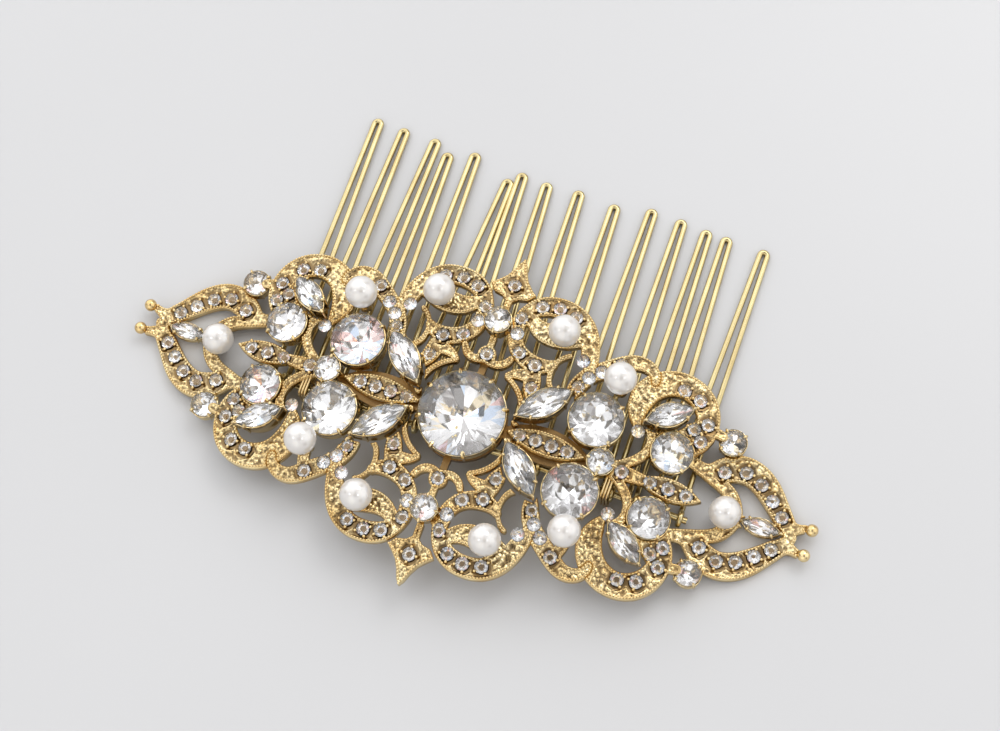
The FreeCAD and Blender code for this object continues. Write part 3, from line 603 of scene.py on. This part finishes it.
# How far a face point may stray from the fitted surface, in each round of fitting.
WING_LIMITS, DOME_LIMITS = (0.45, 0.35, 0.3, 0.3, 0.3), (0.3, 0.15, 0.08, 0.08, 0.08)
WING_POWERS = 9
OUTER_SLACK = 4  # a point may stray this many times further outward than inward
FIT_UNIT = 10.0
LEVEL_FACE = 0.93  # least upright share of a top or bottom face's normal
DISTANCE_BLOCK = 3000  # points measured at a time, to save memory
NEAREST_CUT = 0.1  # a cut keeps this share of a grid edge away from its ends
FAR_AWAY = 99.0


def tip_ball_centres(node):
    """Centres of the two balls at the outer end of a wing."""
    low, high = (np.array(corner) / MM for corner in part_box(node))
    along = high[0] - TIP_BALL_RADIUS if high[0] > 0 else low[0] + TIP_BALL_RADIUS
    centre_line = (low[1] + high[1]) / 2
    return np.array([(along, centre_line + side * TIP_BALL_ACROSS, TIP_BALL_HEIGHT) for side in (1, -1)])


class Surface:
    """A smooth height over the plan, fitted to the outermost of a casting's top or bottom faces.

    A wing is a bent sheet, whose height changes along it only; the rest is part of a dome.
    """

    def __init__(self, points, sign, along_only):
        self.along_only = along_only
        self.middle = points.mean(axis=0)
        used = np.ones(len(points), bool)
        terms = self.terms(points[:, :2])
        for limit in WING_LIMITS if along_only else DOME_LIMITS:
            self.weights = np.linalg.lstsq(terms[used], points[used, 2], rcond=None)[0]
            outward = sign * (points[:, 2] - terms @ self.weights)
            used = (outward > -limit) & (outward < OUTER_SLACK * limit)
        self.used = used

    def terms(self, plan):
        """The polynomial terms at each plan point."""
        x, y = ((plan - self.middle[:2]) / FIT_UNIT).T
        if self.along_only:
            return np.stack([x ** power for power in range(WING_POWERS)], axis=1)
        return np.stack([np.ones_like(x), x, y, x * x, x * y, y * y], axis=1)

    def height(self, plan):
        """The surface's height at each plan point."""
        return self.terms(np.asarray(plan, float)) @ self.weights


def face_surface(points, triangles, sign, along_only):
    """Fit a surface to the faces that look up (1) or down (-1); returns it and its triangles."""
    normal, _ = normals_and_areas(points, triangles)
    mine = triangles[sign * normal[:, 2] > LEVEL_FACE]
    corners = np.unique(mine)
    surface = Surface(points[corners], sign, along_only)
    good = np.zeros(len(points), bool)
    good[corners[surface.used]] = True
    return surface, mine[good[mine].all(axis=1)]


def boundary_loops(triangles):
    """Closed loops of the edges that only one triangle uses."""
    sides = np.concatenate([triangles[:, [0, 1]], triangles[:, [1, 2]], triangles[:, [2, 0]]])
    _, index, counts = np.unique(np.sort(sides, axis=1), axis=0, return_index=True, return_counts=True)
    onward = {}
    for start, end in sides[index[counts == 1]]:
        onward.setdefault(int(start), []).append(int(end))
    loops = []
    while onward:
        start = next(iter(onward))
        loop, place = [start], start
        while place in onward:
            after = onward[place].pop()
            if not onward[place]:
                del onward[place]
            place = after
            if place == start:
                break
            loop.append(place)
        loops.append(loop)
    return [loop for loop in loops if len(loop) > 2]


def signed_distance(plan, segments):
    """Distance from each point to the outline, positive inside it."""
    start, end = segments[:, 0], segments[:, 1]
    way = end - start
    length = np.maximum((way ** 2).sum(axis=1), 1e-12)
    result = np.empty(len(plan))
    for first in range(0, len(plan), DISTANCE_BLOCK):
        block = plan[first:first + DISTANCE_BLOCK, None, :]
        along = np.clip(((block - start) * way).sum(axis=2) / length, 0, 1)
        gap = block - start - along[:, :, None] * way
        distance = np.sqrt((gap ** 2).sum(axis=2).min(axis=1))
        above_start, above_end = start[:, 1] > block[:, :, 1], end[:, 1] > block[:, :, 1]
        rise = np.where(np.abs(way[:, 1]) < 1e-12, 1e-12, way[:, 1])
        crossing = start[:, 0] + (block[:, :, 1] - start[:, 1]) * way[:, 0] / rise
        crossed = (above_start != above_end) & (block[:, :, 0] < crossing)
        inside = crossed.sum(axis=1) % 2 == 1
        result[first:first + DISTANCE_BLOCK] = np.where(inside, distance, -distance)
    return result


def contour_cells(inside_value, columns, rows):
    """Cut a grid along value 0: faces, directed rim edges, and where the cut crosses grid edges."""
    inside = inside_value > 0
    rim, crossings, number = [], [], {}
    i, j = np.meshgrid(np.arange(columns - 1), np.arange(rows - 1), indexing="ij")
    near = i * rows + j
    cells = np.stack([near, near + rows, near + rows + 1, near + 1], axis=-1).reshape(-1, 4)
    count = inside[cells].sum(axis=1)
    faces = cells[count == 4].tolist()
    base = columns * rows
    for cell in cells[(count > 0) & (count < 4)].tolist():
        shape, cut = [], []
        for k in range(4):
            here, after = cell[k], cell[(k + 1) % 4]
            if inside[here]:
                shape.append(here)
                cut.append(False)
            if inside[here] != inside[after]:
                key = (min(here, after), max(here, after))
                if key not in number:
                    number[key] = base + len(crossings)
                    share = inside_value[key[0]] / (inside_value[key[0]] - inside_value[key[1]])
                    crossings.append((key[0], key[1], min(max(share, NEAREST_CUT), 1 - NEAREST_CUT)))
                shape.append(number[key])
                cut.append(True)
        faces.append(shape)
        for k in range(len(shape)):
            after = (k + 1) % len(shape)
            if cut[k] and cut[after]:
                rim.append((shape[k], shape[after]))
    return faces, rim, crossings


def nugget(plan):
    """Hammered, grainy texture: rounded lumps of uneven size."""
    lumps = np.empty(len(plan))
    for index, (x, y) in enumerate(plan):
        distances, _ = noise.voronoi(Vector((x / NUGGET_PITCH, y / NUGGET_PITCH, 0.0)))
        lumps[index] = 0.5 - distances[0]
    return lumps


def distance_to(plan, spots):
    """Distance from each plan point to the nearest of some spots."""
    if not len(spots):
        return np.full(len(plan), FAR_AWAY)
    return np.sqrt(((plan[:, None, :] - spots[None, :, :]) ** 2).sum(axis=2)).min(axis=1)


def ramp(value, start, width):
    """0 up to a start, rising to 1 over a width."""
    return np.clip((value - start) / width, 0, 1)


def add_prongs(soup, spots, surface, segments):
    """Four beads raised round each small stone, turned to stand on the metal."""
    for spot in spots:
        best = None
        for turn in PRONG_TURNS:
            angles = [math.radians(turn + 90 * k) for k in range(4)]
            ring = np.array([spot + PRONG_REACH * np.array((math.cos(a), math.sin(a))) for a in angles])
            room = signed_distance(ring, segments)
            score = np.minimum(room, AMPLE_ROOM).sum()
            if best is None or score > best[0]:
                best = (score, ring, room)
        for place, space in zip(best[1], best[2]):
            if space > PRONG_ROOM:
                height = float(surface.height([place])[0])
                add_bead(soup, (place[0], place[1], height + BEAD_LIFT), PRONG_RADIUS)


def add_milgrain(soup, loops, surface, segments, cup_spots, cup_reach):
    """A row of tiny beads along every free edge."""
    for loop in loops:
        closed = np.vstack([loop, loop[:1]])
        step = np.linalg.norm(np.diff(closed, axis=0), axis=1)
        travel = np.concatenate([[0.0], np.cumsum(step)])
        count = int(travel[-1] / MILGRAIN_PITCH)
        if count < SHORTEST_ROW:
            continue
        marks = np.linspace(0.0, travel[-1], count, endpoint=False)
        line = np.stack([np.interp(marks, travel, closed[:, axis]) for axis in (0, 1)], axis=1)
        way = np.roll(line, -1, axis=0) - np.roll(line, 1, axis=0)
        way /= np.maximum(np.linalg.norm(way, axis=1), 1e-9)[:, None]
        left = np.stack([-way[:, 1], way[:, 0]], axis=1)
        inward = line + MILGRAIN_INSET * left
        cup_gap = (np.linalg.norm(inward[:, None] - cup_spots, axis=2) - cup_reach).min(axis=1)
        free = (signed_distance(inward, segments) > MILGRAIN_ROOM) & (cup_gap > CUP_ROOM)
        heights = surface.height(inward)
        for place, height, good in zip(inward, heights, free):
            if good:
                add_bead(soup, (place[0], place[1], height + BEAD_LIFT), MILGRAIN_RADIUS)


def add_tip_balls(soup, node):
    """The two ball ends of the wing's forked tail."""
    ball, faces = sphere_template(24, 16)
    for centre in tip_ball_centres(node):
        soup.add(ball * TIP_BALL_RADIUS + centre, faces)


def casting_outlines(points, top_triangles, pave_spots):
    """Plan outlines of a casting's top, without the small round seats that stones fill."""
    outlines = []
    for loop in boundary_loops(top_triangles):
        line = points[loop][:, :2]
        is_small = np.ptp(line, axis=0).max() < SEAT_LOOP * PAVE_REACH
        if not (is_small and distance_to(line.mean(axis=0)[None], pave_spots)[0] < SEAT_MISS):
            outlines.append(line)
    return outlines


def plan_mesh(segments):
    """A casting's plan cut from a grid: points, depth inside the edge, faces, rim edges."""
    low = segments.reshape(-1, 2).min(axis=0) - 2 * GRID
    high = segments.reshape(-1, 2).max(axis=0) + 2 * GRID
    columns, rows = (int(n) for n in np.ceil((high - low) / GRID) + 1)
    x, y = np.meshgrid(low[0] + GRID * np.arange(columns), low[1] + GRID * np.arange(rows), indexing="ij")
    grid = np.stack([x.ravel(), y.ravel()], axis=1)
    value = signed_distance(grid, segments)
    faces, rim, crossings = contour_cells(value, columns, rows)
    starts, ends, shares = (np.array(column) for column in zip(*crossings))
    cut = grid[starts] + (grid[ends] - grid[starts]) * shares[:, None]
    plan = np.vstack([grid, cut])
    depth = np.concatenate([value, np.zeros(len(cut))])
    used = np.unique(np.concatenate([np.array(face) for face in faces]))
    renumber = np.full(len(plan), -1)
    renumber[used] = np.arange(len(used))
    faces = [[int(renumber[k]) for k in face] for face in faces]
    rim = [(int(renumber[start]), int(renumber[end])) for start, end in rim]
    return plan[used], np.maximum(depth[used], 0.0), faces, rim


def relief_and_patina(plan, depth, stone_spots):
    """Height of the worked metal over the cast face, and the painted shade in its recesses, pits and
    groove.
    """
    gap = distance_to(plan, stone_spots)
    lumps = nugget(plan)
    grain = ramp(gap, STONE_CLEAR, STONE_FADE) * ramp(depth, EDGE_CLEAR, EDGE_FADE)
    relief = np.interp(depth, *RIM_PROFILE)
    relief = relief * (1 - GRAIN_SHARE * grain) + NUGGET_RISE * lumps * grain
    seat = ramp(PAVE_REACH - gap, 0.0, SEAT_FADE)
    relief = relief * (1 - seat) - SEAT_DEPTH * seat
    # Painted shade where the floor sinks, between the grain's lumps, and along the milgrain groove.
    recesses = ramp(-relief, 0.04, 0.2) * ramp(depth, 0.0, 0.3) * RECESS_SHADE_PAINT
    pits = PIT_SHADE_PAINT * grain * ramp(-lumps, -0.08, 0.22)
    groove = GROOVE_SHADE_PAINT * np.clip(1 - np.abs(depth - MILGRAIN_INSET) / GROOVE_WIDTH, 0, 1)
    return relief, np.maximum(np.maximum(recesses, pits), groove)


def add_sheet(soup, plan, upper_heights, lower_heights, faces, rim, patina):
    """A closed sheet: the same plan above and below, joined by walls round the rim."""
    count = len(plan)
    underside = [[count + k for k in reversed(face)] for face in faces]
    walls = [[start, count + start, count + end, end] for start, end in rim]
    upper = np.column_stack([plan, upper_heights])
    lower = np.column_stack([plan, lower_heights])
    # Painted shade: the given values on top, and a fixed darker value under the sheet that blends up its
    # walls.
    tones = np.concatenate([patina, np.full(count, UNDERSIDE_SHADE_PAINT)])
    soup.add(np.vstack([upper, lower]), faces + underside + walls, tones)


def cast_piece(node, pave_spots, cup_spots, cup_reach, is_wing):
    """A casting with rolled rims, a sunk floor, stone seats, grain, milgrain and prongs, and painted shade
    in its recesses and underside.
    """
    points, triangles = cad_mesh(node)
    if is_wing:
        gap = np.linalg.norm(points[triangles].mean(axis=1)[:, None] - tip_ball_centres(node), axis=2)
        triangles = triangles[gap.min(axis=1) > TIP_BALL_SKIN * TIP_BALL_RADIUS]
    top, top_triangles = face_surface(points, triangles, 1, is_wing)
    bottom, _ = face_surface(points, triangles, -1, is_wing)
    outlines = casting_outlines(points, top_triangles, pave_spots)
    segments = np.concatenate([np.stack([line, np.roll(line, -1, axis=0)], axis=1) for line in outlines])
    plan, depth, faces, rim = plan_mesh(segments)
    own_stones = pave_spots[distance_to(pave_spots, plan[::OUTLINE_SAMPLING]) < STONE_ON_METAL]
    relief, patina = relief_and_patina(plan, depth, own_stones)
    soup = Soup()
    add_sheet(soup, plan, top.height(plan) + relief, bottom.height(plan), faces, rim, patina)
    add_milgrain(soup, outlines, top, segments, cup_spots, cup_reach)
    add_prongs(soup, own_stones, top, segments)
    if is_wing:
        add_tip_balls(soup, node)
    build(node + "_detail", soup, [CAST_GOLD], [node], CASTING_SMOOTHING)


# ---------------------------------------------------------------- pearls, comb


PEARL_SWELL = 0.012  # most that a pearl is out of round, as a share of its radius
PEARL_SMOOTHING = 180


def make_pearls():
    """Coated beads, each very slightly out of round."""
    template, faces = sphere_template(48, 32)
    soup = Soup()
    for index, (centre, radius) in enumerate(pearl_centres()):
        drift = Vector((7.0 * index, 0, 0))
        swell = [1.0 - PEARL_SWELL * (1 + noise.noise(Vector(place) * 1.6 + drift)) for place in template]
        soup.add(template * np.array(swell)[:, None] * radius + centre, faces)
    build("nacre_pearls", soup, [NACRE], ["pearls"], PEARL_SMOOTHING)


def wear(node, material):
    """Give a carried-over CAD node its finished material."""
    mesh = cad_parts[node].data
    mesh.materials.clear()
    mesh.materials.append(material)


def dress_metalwork():
    """Materials for the comb's wire and for the pieces under the castings."""
    for node in sorted(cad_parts):
        if node.startswith("tooth_"):
            wear(node, WIRE_GOLD)
    wear("comb_rail", WIRE_GOLD)
    wear("lashing_wires", LASHING_GOLD)
    wear("pearl_posts", SETTING_GOLD)
    # The centre frame wears the dark gold that paints in the shade under the castings.
    wear("centre_frame", FRAME_GOLD_SHADE_PAINT)


# ------------------------------------------------------------ stage and lights

FLOOR_HALF = 1.2
# The camera stands in front of the comb and over it: millimetres, and degrees about X, Y and Z.
CAMERA_PLACE = Vector((49.5, -71.0, 259.1))
CAMERA_TURN = (18.246, 4.312, 20.654)
CAMERA_LENS = 68.735
VIEW_TARGET = Vector((1.74, 1.14, 4.0))
LAMP_PLACE = Vector((0.12, 0.42, 0.55))
LAMP_SIZE, LAMP_POWER = 0.35, 0.74
TENT_TONE = (0.96, 0.96, 0.97)
# The tent's patches: direction, half angle and soft edge in degrees, tone. First three windows,
# then small lamps, then dim openings, the last of them towards where the camera stands.
TENT_PATCHES = [
    ((-0.55, 0.55, 0.62), 30, 20, (1.74, 1.76, 1.8)), ((0.75, 0.35, 0.55), 20, 16, (1.6, 1.6, 1.6)),
    ((-0.1, -0.85, 0.5), 16, 14, (1.5, 1.48, 1.43)), ((0.2, 0.6, 0.75), 5, 4, (3.8, 3.8, 3.8)),
    ((-0.5, -0.35, 0.8), 4, 3, (3.8, 3.8, 3.8)), ((0.5, -0.1, 0.85), 4, 3, (3.4, 3.4, 3.4)),
    ((0.85, -0.5, 0.3), 8, 8, (0.25, 0.22, 0.20)), ((-0.9, -0.2, 0.35), 7, 6, (0.25, 0.23, 0.21)),
    ((0.3, 0.9, 0.25), 7, 6, (0.25, 0.22, 0.20)), ((0.05, 0.1, 1.0), 4, 5, (0.35, 0.33, 0.31)),
    (tuple(CAMERA_PLACE - VIEW_TARGET), 8, 9, (0.12, 0.10, 0.09)),
]


def make_floor():
    """A plain square floor at the comb's feet."""
    corners = [(x * FLOOR_HALF, y * FLOOR_HALF, 0) for x, y in ((-1, -1), (1, -1), (1, 1), (-1, 1))]
    mesh = bpy.data.meshes.new("floor")
    mesh.from_pydata(corners, [], [(0, 1, 2, 3)])
    mesh.materials.append(floor_material())
    floor = bpy.data.objects.new("floor", mesh)
    bpy.context.scene.collection.objects.link(floor)


def make_camera():
    """A long lens, high in front of the comb."""
    data = bpy.data.cameras.new("camera")
    data.lens = CAMERA_LENS
    data.clip_start = 0.01
    camera = bpy.data.objects.new("camera", data)
    camera.location = CAMERA_PLACE * MM
    camera.rotation_euler = [math.radians(degrees) for degrees in CAMERA_TURN]
    bpy.context.scene.collection.objects.link(camera)
    bpy.context.scene.camera = camera


def tent_patch(tree, direction, towards, half_degrees, soft_degrees):
    """1 inside a round patch of the sky and 0 outside it, with a soft edge."""
    aim = tree.nodes.new("ShaderNodeVectorMath")
    aim.operation = "DOT_PRODUCT"
    aim.inputs[1].default_value = Vector(towards).normalized()
    tree.links.new(direction, aim.inputs[0])
    edge = tree.nodes.new("ShaderNodeMapRange")
    edge.interpolation_type = "SMOOTHSTEP"
    edge.inputs["From Min"].default_value = math.cos(math.radians(half_degrees + soft_degrees))
    edge.inputs["From Max"].default_value = math.cos(math.radians(half_degrees))
    tree.links.new(aim.outputs["Value"], edge.inputs["Value"])
    return edge.outputs["Result"]


def make_world():
    """A pale light tent: bright windows, small lamps for sparkle, and dim openings."""
    world = bpy.data.worlds.new("light_tent")
    bpy.context.scene.world = world
    world.use_nodes = True
    tree = world.node_tree
    direction = tree.nodes.new("ShaderNodeTexCoord").outputs["Generated"]
    colour = TENT_TONE
    for towards, half, soft, tone in TENT_PATCHES:
        colour = add_mix(tree, tent_patch(tree, direction, towards, half, soft), colour, tone)
    background = tree.nodes["Background"]
    tree.links.new(colour, background.inputs["Color"])
    background.inputs["Strength"].default_value = 1.0


def make_lamp():
    """One large soft lamp beyond the comb's teeth."""
    data = bpy.data.lights.new("soft_lamp", "AREA")
    data.shape = "DISK"
    data.size = LAMP_SIZE
    data.energy = LAMP_POWER
    lamp = bpy.data.objects.new("soft_lamp", data)
    lamp.location = LAMP_PLACE
    lamp.rotation_euler = (-LAMP_PLACE).to_track_quat("-Z", "Y").to_euler()
    bpy.context.scene.collection.objects.link(lamp)


# ----------------------------------------------------------------------- making

make_camera()
make_floor()
make_world()
make_lamp()
bpy.context.scene.view_settings.view_transform = "Standard"

every_pave = np.array([seat.centre[:2] for node in PAVE_NODES for seat in seats(node)])
round_seats = [seat for stone_node, *_ in ROUND_SETTINGS for seat in seats(stone_node)]
cup_centres = np.array([seat.centre[:2] for seat in round_seats])
cup_radii = np.array([seat.half_length for seat in round_seats])

for node in DOME_CASTINGS:
    cast_piece(node, every_pave, cup_centres, cup_radii, False)
for node in WING_CASTINGS:
    cast_piece(node, every_pave, cup_centres, cup_radii, True)
for node in PAVE_NODES:
    stones(node, False)
for stone_node, cup_node, depth, claws, first in ROUND_SETTINGS:
    stones(stone_node, False)
    round_cups(stone_node, cup_node, depth, claws, first)
for stone_node, cup_node, depth in NAVETTE_SETTINGS:
    stones(stone_node, True)
    navette_cups(stone_node, cup_node, depth)
make_pearls()
dress_metalwork()
